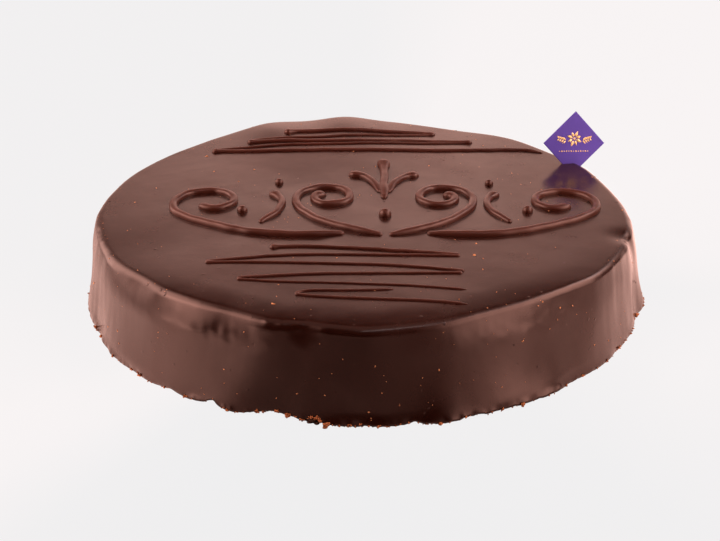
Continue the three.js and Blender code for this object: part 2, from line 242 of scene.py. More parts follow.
class Shape:
    """Points and faces, in millimetres, that grow part by part."""

    def __init__(self):
        self.parts = []
        self.faces = []
        self.count = 0

    def add(self, points):
        """Adds points, and returns the number of the first."""
        start = self.count
        self.parts.append(np.asarray(points, float).reshape(-1, 3))
        self.count += len(self.parts[-1])
        return start

    def add_rings(self, first, rings, last):
        """Closed skin from a first point over rings to a last point. A ring may have twice or half as
        many points as the one before it."""
        rings = [np.asarray([first]), *rings, np.asarray([last])]
        starts = [self.add(ring) for ring in rings]
        for near_ring, far_ring, near_start, far_start in zip(rings, rings[1:], starts, starts[1:]):
            self.faces += ring_faces(len(near_ring), len(far_ring), near_start, far_start)

    def piece(self, name, material, slot):
        """Makes it a piece of the cake with that name and material. The slot is not used."""
        mesh = bpy.data.meshes.new(name)
        mesh.from_pydata((np.concatenate(self.parts) * MM).tolist(), [], self.faces)
        mesh.polygons.foreach_set("use_smooth", [True] * len(mesh.polygons))
        mesh.materials.append(material)
        piece = bpy.data.objects.new(name, mesh)
        bpy.context.scene.collection.objects.link(piece)
        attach(piece, "root")
        return piece


def ring_faces(n, m, near_start, far_start):
    """Faces between a ring of n points and one of m: as many, twice or half as many, or one point."""
    faces = []
    for i in range(min(n, m) if min(n, m) > 1 else max(n, m)):
        near_side = [near_start + k % n for k in span(i, n, m)]
        far_side = [far_start + k % m for k in span(i, m, n)]
        faces.append((near_side[0], *far_side, *reversed(near_side[1:])))
    return faces


def span(i, own, other):
    """Which points of its own ring the i-th face has, where the other ring has other points."""
    if own == 1:
        return [0]
    step = own // other if own > other > 1 else 1
    return range(i * step, (i + 1) * step + 1)


def apply_modifiers(piece):
    """Replaces the piece's mesh by what its modifiers make of it."""
    graph = bpy.context.evaluated_depsgraph_get()
    made = bpy.data.meshes.new_from_object(piece.evaluated_get(graph))
    old, name = piece.data, piece.data.name
    piece.modifiers.clear()
    piece.data = made
    bpy.data.meshes.remove(old)
    made.name = name
    made.polygons.foreach_set("use_smooth", [True] * len(made.polygons))


def fuse(piece, voxel):
    """Melts the piece's overlapping parts into one soft skin."""
    remesh = piece.modifiers.new("fuse", "REMESH")
    remesh.mode = "VOXEL"
    remesh.voxel_size = voxel * MM
    soften = piece.modifiers.new("soften", "SMOOTH")
    soften.iterations = FUSE_SMOOTHINGS
    apply_modifiers(piece)


# ---------------------------------------------------------------- the glaze coat
TOP_COUNT = 450 # points round the top's rings,
SIDE_COUNT = 900 # and round the side's
TOP_ROWS = 60
ROUND_ROWS = 11
SIDE_ROWS = 44
TOP_SPREAD, SIDE_SPREAD = 0.82, 0.93 # below 1, rows lie closer together outwards and downwards
INSET = GLAZE - 0.2 # the coat's thickness
HEM_DROP = 0.30 # the coat's hem is this much lower than the CAD source's,
HEM_LOWEST = 0.12 # but at least this far above the floor
RAGGED_AT, RAGGED_WIDE = 262, 48 # the hem is most ragged in front
RAGGED_HIGH = 3.5 # the raggedness fades out up to this height


def ring_angles(count):
    return np.arange(count) * 360 / count


def polar(angle, r, z):
    """Points at those angles, distances from the middle and heights."""
    a = np.radians(angle)
    return np.stack([r * np.cos(a), r * np.sin(a), z + 0 * r], -1)


def coat_height(angle, r):
    a = np.radians(angle)
    return top_height(r * np.cos(a), r * np.sin(a))


def hem_edge(angle):
    """Height of the coat's ragged lower edge, and how far it stands out past the plain foot."""
    at_foot = polar(angle, FOOT_R + 0 * angle, 0)
    ragged = 0.35 + 0.65 * near(angle, RAGGED_AT, RAGGED_WIDE)
    fine = ripples(at_foot, 2.4, 6.5, 31) * ragged
    height = np.clip(hem_height(angle) - HEM_DROP + 0.26 * fine, HEM_LOWEST, None)
    bite = CHIP_HIGH * np.sqrt(np.clip(1 - (turned(angle, CHIP_ANGLE) / CHIP_HALF) ** 2, 0, None))
    out = 0.25 * fine + 0.40 * ripples(at_foot, 6, 15, 32) * ragged
    return np.maximum(height, bite), out


def relieved(angle, r, z, lean):
    """A ring of the coat, and its normals leaning out by lean, with the relief on it."""
    points = polar(angle, r, z)
    lean = np.radians(lean) + 0 * angle
    out, up = np.sin(lean), np.cos(lean)
    normals = np.stack([np.cos(np.radians(angle)) * out, np.sin(np.radians(angle)) * out, up], -1)
    top = top_relief(points[:, 0], points[:, 1])
    side = side_relief(points, angle, z) * smooth((z - 1) / 5)
    # The rounded edge is a little uneven at the left end.
    nibbled = 0.06 * ripples(points, 3.2, 7, 41) * near(angle, 194, 13) * np.sin(2 * lean)
    return points + normals * (top * up + side * out + nibbled + lumps(points))[:, None], normals


def coat_outside():
    """The coat's outer rings, from the middle of the top to the hem, and their normals."""
    rows = []
    angle = ring_angles(TOP_COUNT)
    for j in range(1, TOP_ROWS + 1):
        r = (j / TOP_ROWS) ** TOP_SPREAD * (rim_radius(angle) - rim_round(angle))
        rows.append(relieved(angle, r, coat_height(angle, r), 0))
    angle = ring_angles(SIDE_COUNT)
    for j in range(1, ROUND_ROWS + 1):
        lean = round_end(angle) * j / ROUND_ROWS
        r = rim_radius(angle) - rim_round(angle) * (1 - np.sin(np.radians(lean)))
        edge = coat_height(angle, r) - rim_round(angle) * (1 - np.cos(np.radians(lean)))
        rows.append(relieved(angle, r, edge, lean))
    hem, out = hem_edge(angle)
    short = rim_radius(angle) - r
    for j in range(1, SIDE_ROWS + 1):
        z = edge + (hem - edge) * (j / SIDE_ROWS) ** SIDE_SPREAD
        left = edge_left(z, edge)
        hem_out = out * smooth((RAGGED_HIGH - z) / RAGGED_HIGH)
        r = wall_radius(angle, z, edge) - short * left**2 + hem_out
        rows.append(relieved(angle, r, z, 90 - (90 - round_end(angle)) * left))
    return rows


def coat_inside(hem):
    """Rings from the hem, rolled in under the foot, up inside the coat to the middle."""
    angle = ring_angles(SIDE_COUNT)
    inner = barrel_radius(angle, 0 * angle) - INSET
    outer = np.hypot(hem[:, 0], hem[:, 1])
    rings = []
    for share in (0.25, 0.6, 1.0):
        lift = 0.25 * math.sin(math.pi * share) + 0.5 * share
        rings.append(polar(angle, outer + (inner - outer) * share, hem[:, 2] + lift))
    angle = ring_angles(TOP_COUNT)
    for z in (12, 27, TOP_Z - RIM_ROUND - INSET):
        rings.append(polar(angle, barrel_radius(angle, z + 0 * angle) - INSET, z))
    for share in (0.97, 0.85, 0.6, 0.3, 0.06):
        r = share * (rim_radius(angle) - INSET)
        rings.append(polar(angle, r, coat_height(angle, r) - INSET))
    return rings


def on_top(x, y):
    """Height of the coat's top with its relief."""
    return top_height(x, y) + top_relief(x, y)


middle_z = on_top(np.zeros(1), np.zeros(1))[0]
coat_rows = coat_outside()
coat_rings = [ring for ring, _ in coat_rows]
coat = Shape()
coat.add_rings((0, 0, middle_z), coat_rings + coat_inside(coat_rings[-1]), (0, 0, middle_z - INSET))

# ---------------------------------------------------------------- piping
# One stroke: width, how many times as wide its two ends are, and the knots of its curve. These are the
# strokes of the CAD source.
BACK_LINES = (
    (2.5, 2.2, 1.7, ((-43.5, 98), (-34, 100.2), (-10, 102.2), (15, 104.5), (39, 104.8))),
    (1.6, 1, 1, ((38.5, 104.2), (20, 100), (-15, 94.2), (-46, 91), (-63, 90))),
    (2.3, 2.2, 1.8, ((-63, 88), (-38, 87.6), (-7, 88.2), (28, 92.2), (58.5, 93.8))),
    (1.6, 1, 1, ((58, 93.4), (38, 90.6), (17, 88), (-15, 84), (-46, 82.3), (-81, 79.5))),
    (2.2, 2.1, 0.7, ((-81, 77.8), (-60, 76), (-28, 75.4), (17, 78), (58, 81.6), (86, 82.4), (95, 79))),
)
FRONT_LINES = (
    (1.9, 2.4, 1.2, ((-43.5, -45.5), (-29, -44.6), (-8, -46), (18, -49.2), (43.5, -53.6))),
    (1.5, 1.3, 1.3, ((43.5, -54.6), (20, -53.8), (-8, -53.4), (-38, -54.8), (-71.5, -60.8))),
    (1.5, 1.5, 1.3, ((-71.5, -62), (-50, -61.9), (-20, -63.2), (14, -64.8), (44.5, -71))),
    (1.5, 1.5, 1.3, ((43.5, -72.8), (14, -73.2), (-22, -74.6), (-56, -78.2))),
    (1.2, 1.5, 0.5, ((-56, -79.6), (-38, -82.2), (-8, -84), (22, -86.4), (44.5, -90.2))),
    (1.3, 1.4, 0.5, ((-30, -94.2), (-25, -91.6), (-8, -91.2), (13, -90.2))),
    (1.4, 1.4, 0.5, ((-30, -95), (-18, -97.4), (6, -99.6), (26, -101.4), (44, -104.2))),
)
SCROLL_MIDDLE = (10, 2)
SCROLL_WIDE = 4.2
LEAF_WIDE = 3.7
PEARLS = ((0, -9, 3.1), (69, -4, 2.6), (-69, -4, 2.6), (53, 32, 2.2), (-53, 32, 2.2)) # x, y, radius
PEARL_LIFT = 0.15 # a pearl's middle lies this many radii above the glaze
BLEND = 1.6 # an end's extra width fades out over this many widths
BEAD_RISE = 0.56 # a bead's height above the glaze, in widths
BEAD_FULLNESS = 0.74 # 1 for a round section, less for a flatter crest
BEAD_SINK = 0.3 # and how deep it sits
BEAD_STEP = 0.16 # its rings' distance along it, in widths
BEAD_POINTS = 18 # and their points
END_ROUND = 0.7 # its ends are rounded over this many widths
END_FADE = 2 # and are flatter, over this many
CURVE_STEPS = 40 # points worked out between two knots


def spiral(middle, r0, r1, a0, a1, count):
    """Knots on a spiral from radius r0 at angle a0 to radius r1 at angle a1."""
    t = np.linspace(0, 1, count)
    a = np.radians(a0 + (a1 - a0) * t)
    r = r0 + (r1 - r0) * t
    return tuple(zip(middle[0] + r * np.cos(a), middle[1] + r * np.sin(a)))


HEART_EYE = spiral((28, 12), 4.5, 15.5, 440, 0, 13)
BRANCH_EYE = spiral((85, 6), 20, 4.8, -48, 330, 12)
SCROLL = (
    (SCROLL_WIDE, 1.5, 0.75, (*HEART_EYE, (40, -4), (29, -18), (14, -28), (1.4, -33))),
    (SCROLL_WIDE, 0.75, 1.5, ((19, -31), (40, -33.5), (62, -30), (81, -21), *BRANCH_EYE)),
    (LEAF_WIDE, 1.8, 0.8, ((56, 19), (50.5, 9), (52, -5), (60, -18))),
    (LEAF_WIDE, 1.7, 0.8, ((18, 43), (11, 40), (5, 31), (2, 20))),
)
STEM = (SCROLL_WIDE, 1.9, 0.8, ((0, 60), (0, 40), (0, 12)))


def scrolled(stroke, side):
    """A stroke of the scroll in its place, on the right for side 1 and mirrored for -1."""
    wide, head, tail, knots = stroke
    return wide, head, tail, [(SCROLL_MIDDLE[0] + side * x, SCROLL_MIDDLE[1] + y) for x, y in knots]


def curve_points(knots, spacing):
    """Points at even steps along a centripetal Catmull-Rom curve through the knots, and how far along."""
    knots = np.array(knots, float)
    p = np.concatenate([[2 * knots[0] - knots[1]], knots, [2 * knots[-1] - knots[-2]]])
    parts = []
    for p0, p1, p2, p3 in zip(p, p[1:], p[2:], p[3:]):
        t1 = np.linalg.norm(p1 - p0) ** 0.5
        t2 = t1 + np.linalg.norm(p2 - p1) ** 0.5
        t3 = t2 + np.linalg.norm(p3 - p2) ** 0.5
        t = np.linspace(t1, t2, CURVE_STEPS, endpoint=False)[:, None]
        a1 = (t1 - t) / t1 * p0 + t / t1 * p1
        a2 = (t2 - t) / (t2 - t1) * p1 + (t - t1) / (t2 - t1) * p2
        a3 = (t3 - t) / (t3 - t2) * p2 + (t - t2) / (t3 - t2) * p3
        b1 = (t2 - t) / t2 * a1 + t / t2 * a2
        b2 = (t3 - t) / (t3 - t1) * a2 + (t - t1) / (t3 - t1) * a3
        parts.append((t2 - t) / (t2 - t1) * b1 + (t - t1) / (t2 - t1) * b2)
    line = np.concatenate([*parts, [knots[-1]]])
    run = np.concatenate([[0], np.cumsum(np.linalg.norm(np.diff(line, axis=0), axis=1))])
    even = np.linspace(0, run[-1], max(8, int(run[-1] / spacing)))
    return np.stack([np.interp(even, run, line[:, k]) for k in (0, 1)], -1), even


def add_bead(shape, stroke, seed):
    """A piped bead with rounded ends, a little uneven from the hand that piped it."""
    wide, head, tail, knots = stroke
    line, run = curve_points(knots, BEAD_STEP * wide)
    way = np.gradient(line, axis=0)
    way /= np.linalg.norm(way, axis=1)[:, None]
    left = np.stack([-way[:, 1], way[:, 0]], -1)
    flat = np.concatenate([line, np.full((len(line), 1), float(seed))], 1)
    from_end = run[-1] - run
    ended = np.exp(-((np.minimum(run, from_end) / (END_FADE * wide)) ** 2))
    width = wide * (
        1
        + (head - 1) * np.exp(-((run / (BLEND * wide)) ** 2))
        + (tail - 1) * np.exp(-((from_end / (BLEND * wide)) ** 2))
    )
    width = width * (1 + 0.015 * ripples(flat, 6, 16, 51))
    end = np.clip(np.minimum(run, from_end) / (END_ROUND * width), 0, 1)
    width = width * np.sqrt(np.clip(1 - (1 - end) ** 2, 0.01, 1))
    line = line + left * (0.04 * wide * ripples(flat, 9, 26, 52))[:, None]
    floor = on_top(line[:, 0], line[:, 1])
    rise = 1 - 0.3 * ended + 0.02 * ripples(flat, 8, 20, 53)
    turn = np.arange(BEAD_POINTS) * 2 * math.pi / BEAD_POINTS
    wide_part = np.sign(np.cos(turn)) * np.abs(np.cos(turn)) ** BEAD_FULLNESS
    high_part = np.sign(np.sin(turn)) * np.abs(np.sin(turn)) ** BEAD_FULLNESS
    rings = []
    for p, side, z, w, tall in zip(line, left, floor, width, rise):
        across = 0.5 * w * wide_part
        up = np.where(high_part > 0, BEAD_RISE * tall, BEAD_SINK) * w * high_part
        rings.append(np.stack([p[0] + side[0] * across, p[1] + side[1] * across, z + up], -1))
    shape.add_rings((*line[0], floor[0]), [ring[::-1] for ring in rings], (*line[-1], floor[-1]))


def add_ball(shape, middle, radii, seed=0, rough=0.0, turn=None, detail=10):
    """A ball, flattened by its radii, with a rough skin where rough is above 0."""
    count = 2 * detail
    around = np.arange(count) * math.pi / detail
    rings = []
    for j in range(1, detail):
        lean = math.pi * j / detail
        ring = np.stack([math.sin(lean) * np.cos(around), math.sin(lean) * np.sin(around)], -1)
        rings.append(np.concatenate([ring, np.full((count, 1), math.cos(lean))], 1))
    ball = np.concatenate([[(0, 0, 1)], *rings, [(0, 0, -1)]])
    if rough:
        ball = ball * (1 + rough * ripples(ball, 0.7, 2.2, seed, waves=9))[:, None]
    ball = ball * np.array(radii)
    if turn is not None:
        ball = ball @ np.array(turn).T
    ball = ball + np.array(middle)
    shape.add_rings(ball[0], np.split(ball[1:-1], detail - 1), ball[-1])


def piped(strokes, seed):
    """Beads along the strokes, with seeds from that number on."""
    shape = Shape()
    for number, stroke in enumerate(strokes):
        add_bead(shape, stroke, seed + number)
    return shape


def add_pearls(shape):
    for x, y, radius in PEARLS:
        pearl_x, pearl_y = SCROLL_MIDDLE[0] + x, SCROLL_MIDDLE[1] + y
        ground = on_top(np.array([pearl_x]), np.array([pearl_y]))[0]
        add_ball(shape, (pearl_x, pearl_y, ground + PEARL_LIFT * radius), (radius,) * 3, detail=14)


back_lines = piped(BACK_LINES, 10)
front_lines = piped(FRONT_LINES, 30)
scroll = Shape()
for side in (-1, 1):
    for number, stroke in enumerate(SCROLL):
        add_bead(scroll, scrolled(stroke, side), 60 + 10 * side + number)
add_bead(scroll, scrolled(STEM, 1), 90)
add_pearls(scroll)

# ---------------------------------------------------------------- specks, bumps and crumbs
SPECKS = 360
BUMPS = 110
HEM_CRUMBS = 420
CHIP_CRUMBS = 46
# Large crumbs at the foot: angle, how far outside the foot, size.
LARGE_CRUMBS = ((263.2, 0.3, 1.35), (300, 0.2, 0.9), (283.5, 0.1, 0.8), (244.5, 0.0, 0.7))
# Near-black clods that fill the chipped hollow as painted shade: turn from its middle in degrees, depth,
# size.
CLODS = ((-1.2, 4.6, 2.3), (0.1, 4.4, 2.6), (1.3, 4.8, 2.2), (-0.6, 2.2, 1.4), (0.7, 2.4, 1.3))
ANY_TURN = 6.3 # about a full turn, in radians
coat_points = np.concatenate(coat_rings)
coat_normals = np.concatenate([normals for _, normals in coat_rows])
rng = np.random.default_rng(7) # the order of its draws decides where each speck and crumb lies


def facing(normal, spin):
    """A rotation that turns +Z to the normal, after a turn about +Z."""
    tilt = Vector((0, 0, 1)).rotation_difference(Vector(normal)).to_matrix()
    return tilt @ Matrix.Rotation(spin, 3, "Z")


def coat_spots(count, lowest):
    """Random spots of the coat above a height, as (point, normal), spread about evenly."""
    steps = [np.hypot(ring[0, 0], ring[0, 1]) / len(ring) for ring in coat_rings]
    spread = np.repeat(steps, [len(ring) for ring in coat_rings])
    chance = spread * (coat_points[:, 2] > lowest)
    picks = rng.choice(len(coat_points), count, replace=False, p=chance / chance.sum())
    return [(coat_points[i], coat_normals[i]) for i in picks]


def speck_size():
    return 0.11 + 0.06 * rng.gamma(1.6)


def bump_size():
    return rng.uniform(0.3, 0.8)


def scatter_on_coat(count, draw_size, lowest, longest, flat, rough, detail):
    """Small grains on the coat above a height: each up to longest times as long as wide, and as high as it
    is wide times a number between the two of flat."""
    shape = Shape()
    for point, normal in coat_spots(count, lowest):
        size = draw_size()
        radii = (size * rng.uniform(1.0, longest), size, size * rng.uniform(*flat))
        seed = int(rng.integers(999))
        add_ball(shape, point, radii, seed, rough, facing(normal, rng.uniform(0, ANY_TURN)), detail)
    return shape


def scatter_at_hem(shape):
    """Crumbs along the hem, most of them in front and at the right end."""
    angles = ring_angles(SIDE_COUNT)
    crumbly = 0.12 + near(angles, 262, 26) + 0.7 * near(angles, 342, 16) + 0.3 * near(angles, 90, 60)
    for number in range(HEM_CRUMBS):
        i = int(rng.choice(SIDE_COUNT, p=crumbly / crumbly.sum()))
        x, y, z = coat_rings[-1][i]
        r = math.hypot(x, y)
        size = 0.22 + 0.13 * rng.gamma(1.5)
        out = rng.uniform(-1.6, 0.35)
        high = max(size * 0.8, z + rng.uniform(-0.3, 0.5))
        place = (x * (r + out) / r, y * (r + out) / r, high)
        turn = Euler(rng.uniform(0, ANY_TURN, 3)).to_matrix()
        add_ball(shape, place, size * rng.uniform(0.7, 1.3, 3), number, 0.3, turn, 5)


def foot_spot(angle, out, z):
    """A point at that height, that far outside the plain foot."""
    return polar(np.array([angle]), wall_radius(np.array([angle]), 0.0) + out, z)[0]


def add_large_crumbs(shape):
    for angle, out, size in LARGE_CRUMBS:
        radii = (size, size * 0.85, size * 0.8)
        add_ball(shape, foot_spot(angle, out, size * 0.75), radii, int(angle), 0.28, None, 8)


def clod_bed():
    """The crumbly bed of the chipped hollow; with its near-black crumb it is painted shade in the hollow.
    """
    shape = Shape()
    for number, (turn, deep, size) in enumerate(CLODS):
        radii = (size * 1.5, size * 1.4, size * 0.6)
        add_ball(shape, foot_spot(CHIP_ANGLE + turn, -deep, size * 0.75), radii, 900 + number, 0.2)
    return shape


def scatter_in_chip(shape):
    """Crumbs of the sponge round the edge of the chipped hollow."""
    for number in range(CHIP_CRUMBS):
        share = rng.uniform(-1.15, 1.15)
        edge = CHIP_HIGH * math.sqrt(max(0, 1 - share * share))
        deep = rng.uniform(0.4, 6.5)
        size = rng.uniform(0.25, 0.7)
        z = max(size * 0.7, edge + rng.uniform(-0.3, 0.3))
        place = foot_spot(CHIP_ANGLE + CHIP_HALF * share, -deep, z)
        add_ball(shape, place, size * rng.uniform(0.7, 1.3, 3), 600 + number, 0.3, None, 5)


specks = scatter_on_coat(SPECKS, speck_size, lowest=3, longest=1.9, flat=(0.45, 0.8), rough=0.22, detail=4)
bumps = scatter_on_coat(BUMPS, bump_size, lowest=5, longest=1.6, flat=(0.08, 0.16), rough=0.06, detail=7)
hem_crumbs = Shape()
scatter_at_hem(hem_crumbs)
add_large_crumbs(hem_crumbs)
chip_shade_bed = clod_bed()
scatter_in_chip(hem_crumbs)

# ---------------------------------------------------------------- the card
CARD_SIDE = 23.6
CARD_THICK = 0.7
CARD_MIDDLE = (109.4, 66.3, 52.7)
CARD_YAW = 12.5 # degrees, its right-hand corner turned to the back
CARD_LEAN = 10 # degrees, leaning to the back
CARD_ROLL = 4 # degrees, its top corner tipped to the right
CARD_POSE = (
    Matrix.Translation(CARD_MIDDLE)
    @ Matrix.Rotation(math.radians(CARD_YAW), 4, "Z")
    @ Matrix.Rotation(math.radians(-CARD_LEAN), 4, "X")
    @ Matrix.Rotation(math.radians(45 + CARD_ROLL), 4, "Y")
)
CARD_BOW = 0.25 # the card's middle stands this far to the back
BOW_WIDE, BOW_HIGH = 2.4, 3.0 # the bow is the middle of an arch this many sides wide and high
CARD_EDGE = 0.1 # its cut edges are softened this much
EDGE_POINTS = 24 # points along each of its edges


def on_card(u, v, deep):
    """A point of the bowed card, from its middle: u and v along its edges, deep to its back."""
    across, up = u / (BOW_WIDE * CARD_SIDE), v / (BOW_HIGH * CARD_SIDE)
    bow = CARD_BOW * math.cos(math.pi * across) * math.cos(math.pi * up)
    return CARD_POSE @ Vector((u, deep + bow, v))


def card_ring(half, deep):
    """The card's square outline at half that size, on one of its levels."""
    run = np.linspace(-half, half, EDGE_POINTS, endpoint=False)
    sides = [(u, -half) for u in run] + [(half, v) for v in run]
    sides += [(-u, half) for u in run] + [(-half, -v) for v in run]
    return [on_card(u, v, deep) for u, v in sides]


card_half, face_level = CARD_SIDE / 2, CARD_THICK / 2
insets = [card_half * share for share in (0.15, 0.35, 0.55, 0.75, 0.9, 0.97)] + [card_half - CARD_EDGE]
card_rings = [card_ring(inset, -face_level) for inset in insets]
card_rings += [card_ring(card_half, CARD_EDGE - face_level), card_ring(card_half, face_level - CARD_EDGE)]
card_rings += [card_ring(inset, face_level) for inset in reversed(insets)]
card_sheet = Shape()
card_sheet.add_rings(on_card(0, 0, -face_level), card_rings, on_card(0, 0, face_level))

# A gold print of its own on the card: a rosette between two sprigs of leaves, over a row of dots.
PRINT_LEVEL = -face_level - 0.05
PRINT_THICK = 0.09
ROSETTE = (0.0, 2.3)
DOTS_AT = -4.2


def add_print(shape, outline):
    """A flat plate of gold on the card: its outline is (across, up) along the card's diagonals."""
    count = len(outline)
    edges = [((across - up) / math.sqrt(2), (across + up) / math.sqrt(2)) for across, up in outline]
    front = shape.add([on_card(u, v, PRINT_LEVEL) for u, v in edges])
    back = shape.add([on_card(u, v, PRINT_LEVEL + PRINT_THICK) for u, v in edges])
    shape.faces.append(tuple(range(front, front + count)))
    shape.faces.append(tuple(reversed(range(back, back + count))))
    shape.faces += ring_faces(count, count, front, back)


def petal(middle, angle, inner, length, wide):
    """Outline of a petal that points away from the middle."""
    t = np.linspace(0, 1, 9)
    half_width = 0.5 * wide * np.sin(math.pi * t**0.8)
    along = np.concatenate([inner + length * t, (inner + length * t)[-2:0:-1]])
    aside = np.concatenate([-half_width, half_width[-2:0:-1]])
    a = math.radians(angle)
    x = middle[0] + along * math.cos(a) - aside * math.sin(a)
    y = middle[1] + along * math.sin(a) + aside * math.cos(a)
    return list(zip(x, y))


def disc(middle, radius, count=14):
    turn = np.arange(count) * 2 * math.pi / count
    return [(middle[0] + radius * math.cos(a), middle[1] + radius * math.sin(a)) for a in turn]


card_print = Shape()
add_print(card_print, disc(ROSETTE, 0.65))
for i in range(8):
    add_print(card_print, petal(ROSETTE, 22.5 + 45 * i, 1.1, 3.3 if i % 2 else 2.6, 1.45))
for side in (-1, 1):
    for i in range(4):
        root = (side * (4.6 + 1.2 * i), 1.2 + 0.4 * i)
        for turn, length in ((52, 2.6 - 0.3 * i), (-38, 2.2 - 0.25 * i)):
            angle = turn if side > 0 else 180 - turn
            add_print(card_print, petal(root, angle, 0.1, length, 0.85))
for i in range(-6, 7):
    add_print(card_print, disc((1.3 * i, DOTS_AT), 0.42 if i % 2 else 0.3, 8))

# ---------------------------------------------------------------- materials
def add_node(tree, kind, settings=(), **inputs):
    """A node with those settings and inputs, each a number, a colour or another node's output. An input
    is called by its name or, after an underscore, by its number."""
    node = tree.nodes.new("ShaderNode" + kind)
    for key, value in dict(settings).items():
        setattr(node, key, value)
    for key, value in inputs.items():
        socket = node.inputs[int(key[1:])] if key[0] == "_" else node.inputs[key.replace("_", " ")]
        if isinstance(value, bpy.types.NodeSocket):
            tree.links.new(value, socket)
        else:
            socket.default_value = value
    return node


def new_material(name, **settings):
    """A Principled material with these constant inputs, its shader and its object coordinates."""
    material = bpy.data.materials.new(name)
    material.use_nodes = True
    shader = material.node_tree.nodes["Principled BSDF"]
    for key, value in settings.items():
        shader.inputs[key.replace("_", " ")].default_value = value
    place = add_node(material.node_tree, "TexCoord").outputs["Object"]
    return material, shader, place


def noise(tree, place, scale, detail=2.0, roughness=0.5):
    made = add_node(tree, "TexNoise", Vector=place, Scale=scale, Detail=detail, Roughness=roughness)
    return made.outputs["Fac"]


def ramp(tree, value, *stops):
    """Colours for a value, from one stop to the other; a stop is a (value, colour)."""
    made = add_node(tree, "ValToRGB", _0=value)
    for element, (at, colour) in zip(made.color_ramp.elements, stops):
        element.position = at
        element.color = (*colour, 1)
    return made.outputs["Color"]


def levels(tree, value, low, high, to_low, to_high):
    """A value that runs from to_low to to_high while the given one runs from low to high."""
    made = add_node(tree, "MapRange", _0=value, _1=low, _2=high, _3=to_low, _4=to_high)
    return made.outputs["Result"]


def multiplied(tree, first, second):
    return add_node(tree, "Math", {"operation": "MULTIPLY"}, _0=first, _1=second).outputs[0]


def mix_colours(tree, share, first, second):
    made = add_node(tree, "Mix", {"data_type": "RGBA"}, _0=share, _6=first, _7=second)
    return made.outputs[2]


def bump(tree, height, distance, normal=None):
    """A normal for that relief, in metres, on top of another normal."""
    made = add_node(tree, "Bump", Height=height, Distance=distance, Strength=1.0)
    if normal is not None:
        tree.links.new(normal, made.inputs["Normal"])
    return made.outputs["Normal"]


def chocolate(name, dark, light, roughness):
    """Satin chocolate glaze: brown, slightly clouded, with fine pits and a soft grazing haze."""
    material, shader, place = new_material(
        name,
        IOR=1.5,
        Specular_IOR_Level=0.5,
        Specular_Tint=(1.0, 0.82, 0.76, 1),
        Sheen_Weight=0.03,
        Sheen_Roughness=0.42,
        Sheen_Tint=(1.0, 0.56, 0.46, 1),
    )
    tree = material.node_tree
    clouds = noise(tree, place, 22, 3, 0.55)
    mottle = noise(tree, place, 260, 2)
    cloudy = ramp(tree, clouds, (0.34, dark), (0.68, light))
    spotted = mix_colours(tree, levels(tree, mottle, 0.5, 0.8, 0, 0.35), cloudy, (*light, 1))
    tree.links.new(spotted, shader.inputs["Base Color"])
    patches = noise(tree, place, 45, 3, 0.6)
    worn = levels(tree, patches, 0.3, 0.72, roughness - 0.05, roughness + 0.08)
    tree.links.new(worn, shader.inputs["Roughness"])
    cells = add_node(tree, "TexVoronoi", Vector=place, Scale=210, Randomness=1.0).outputs["Distance"]
    pits = levels(tree, cells, 0.0, 0.11, -1, 0)
    sparse = levels(tree, noise(tree, place, 75, 1), 0.52, 0.6, 0, 1)
    pitted = multiplied(tree, pits, sparse)
    skin = bump(tree, noise(tree, place, 110, 2, 0.5), 0.00007)
    skin = bump(tree, noise(tree, place, 1100, 2, 0.5), 0.00001, skin)
    skin = bump(tree, pitted, 0.00018, skin)
    tree.links.new(skin, shader.inputs["Normal"])
    return material


def crumb(name, dark, light, scale):
    """Baked sponge crumb: porous, rough, orange-brown."""
    material, shader, place = new_material(name, Specular_IOR_Level=0.3)
    tree = material.node_tree
    grains = noise(tree, place, scale, 4, 0.65)
    tree.links.new(ramp(tree, grains, (0.3, dark), (0.7, light)), shader.inputs["Base Color"])
    tree.links.new(levels(tree, grains, 0.3, 0.7, 0.95, 0.7), shader.inputs["Roughness"])
    pores = add_node(tree, "TexVoronoi", Vector=place, Scale=scale * 0.8).outputs["Distance"]
    skin = bump(tree, pores, 0.0004)
    tree.links.new(bump(tree, grains, 0.0003, skin), shader.inputs["Normal"])
    return material


def card_stock(name):
    """Smooth purple card with a faint fibre."""
    material, shader, place = new_material(name, Specular_IOR_Level=0.4)
    tree = material.node_tree
    fibres = add_node(tree, "Mapping", Vector=place, Scale=(1.0, 1.0, 0.25)).outputs["Vector"]
    grain = noise(tree, fibres, 1500, 3, 0.6)
    clouds = noise(tree, place, 90, 2)
    base = ramp(tree, clouds, (0.3, (0.072, 0.052, 0.44)), (0.75, (0.082, 0.060, 0.49)))
    flecked = mix_colours(tree, levels(tree, grain, 0.55, 0.75, 0, 0.12), base, (0.18, 0.14, 0.62, 1))
    tree.links.new(flecked, shader.inputs["Base Color"])
    tree.links.new(levels(tree, grain, 0.3, 0.7, 0.42, 0.56), shader.inputs["Roughness"])
    tree.links.new(bump(tree, grain, 0.00002), shader.inputs["Normal"])
    return material


def gold_foil(name):
    """Pale gold print with slightly uneven colour."""
    material, shader, place = new_material(name, Metallic=0.55)
    tree = material.node_tree
    clouds = noise(tree, place, 420, 3)
    gold = ramp(tree, clouds, (0.3, (0.80, 0.62, 0.24)), (0.7, (0.97, 0.83, 0.42)))
    tree.links.new(gold, shader.inputs["Base Color"])
    tree.links.new(levels(tree, clouds, 0.3, 0.7, 0.5, 0.32), shader.inputs["Roughness"])
    tree.links.new(bump(tree, noise(tree, place, 1800, 2), 0.00002), shader.inputs["Normal"])
    return material


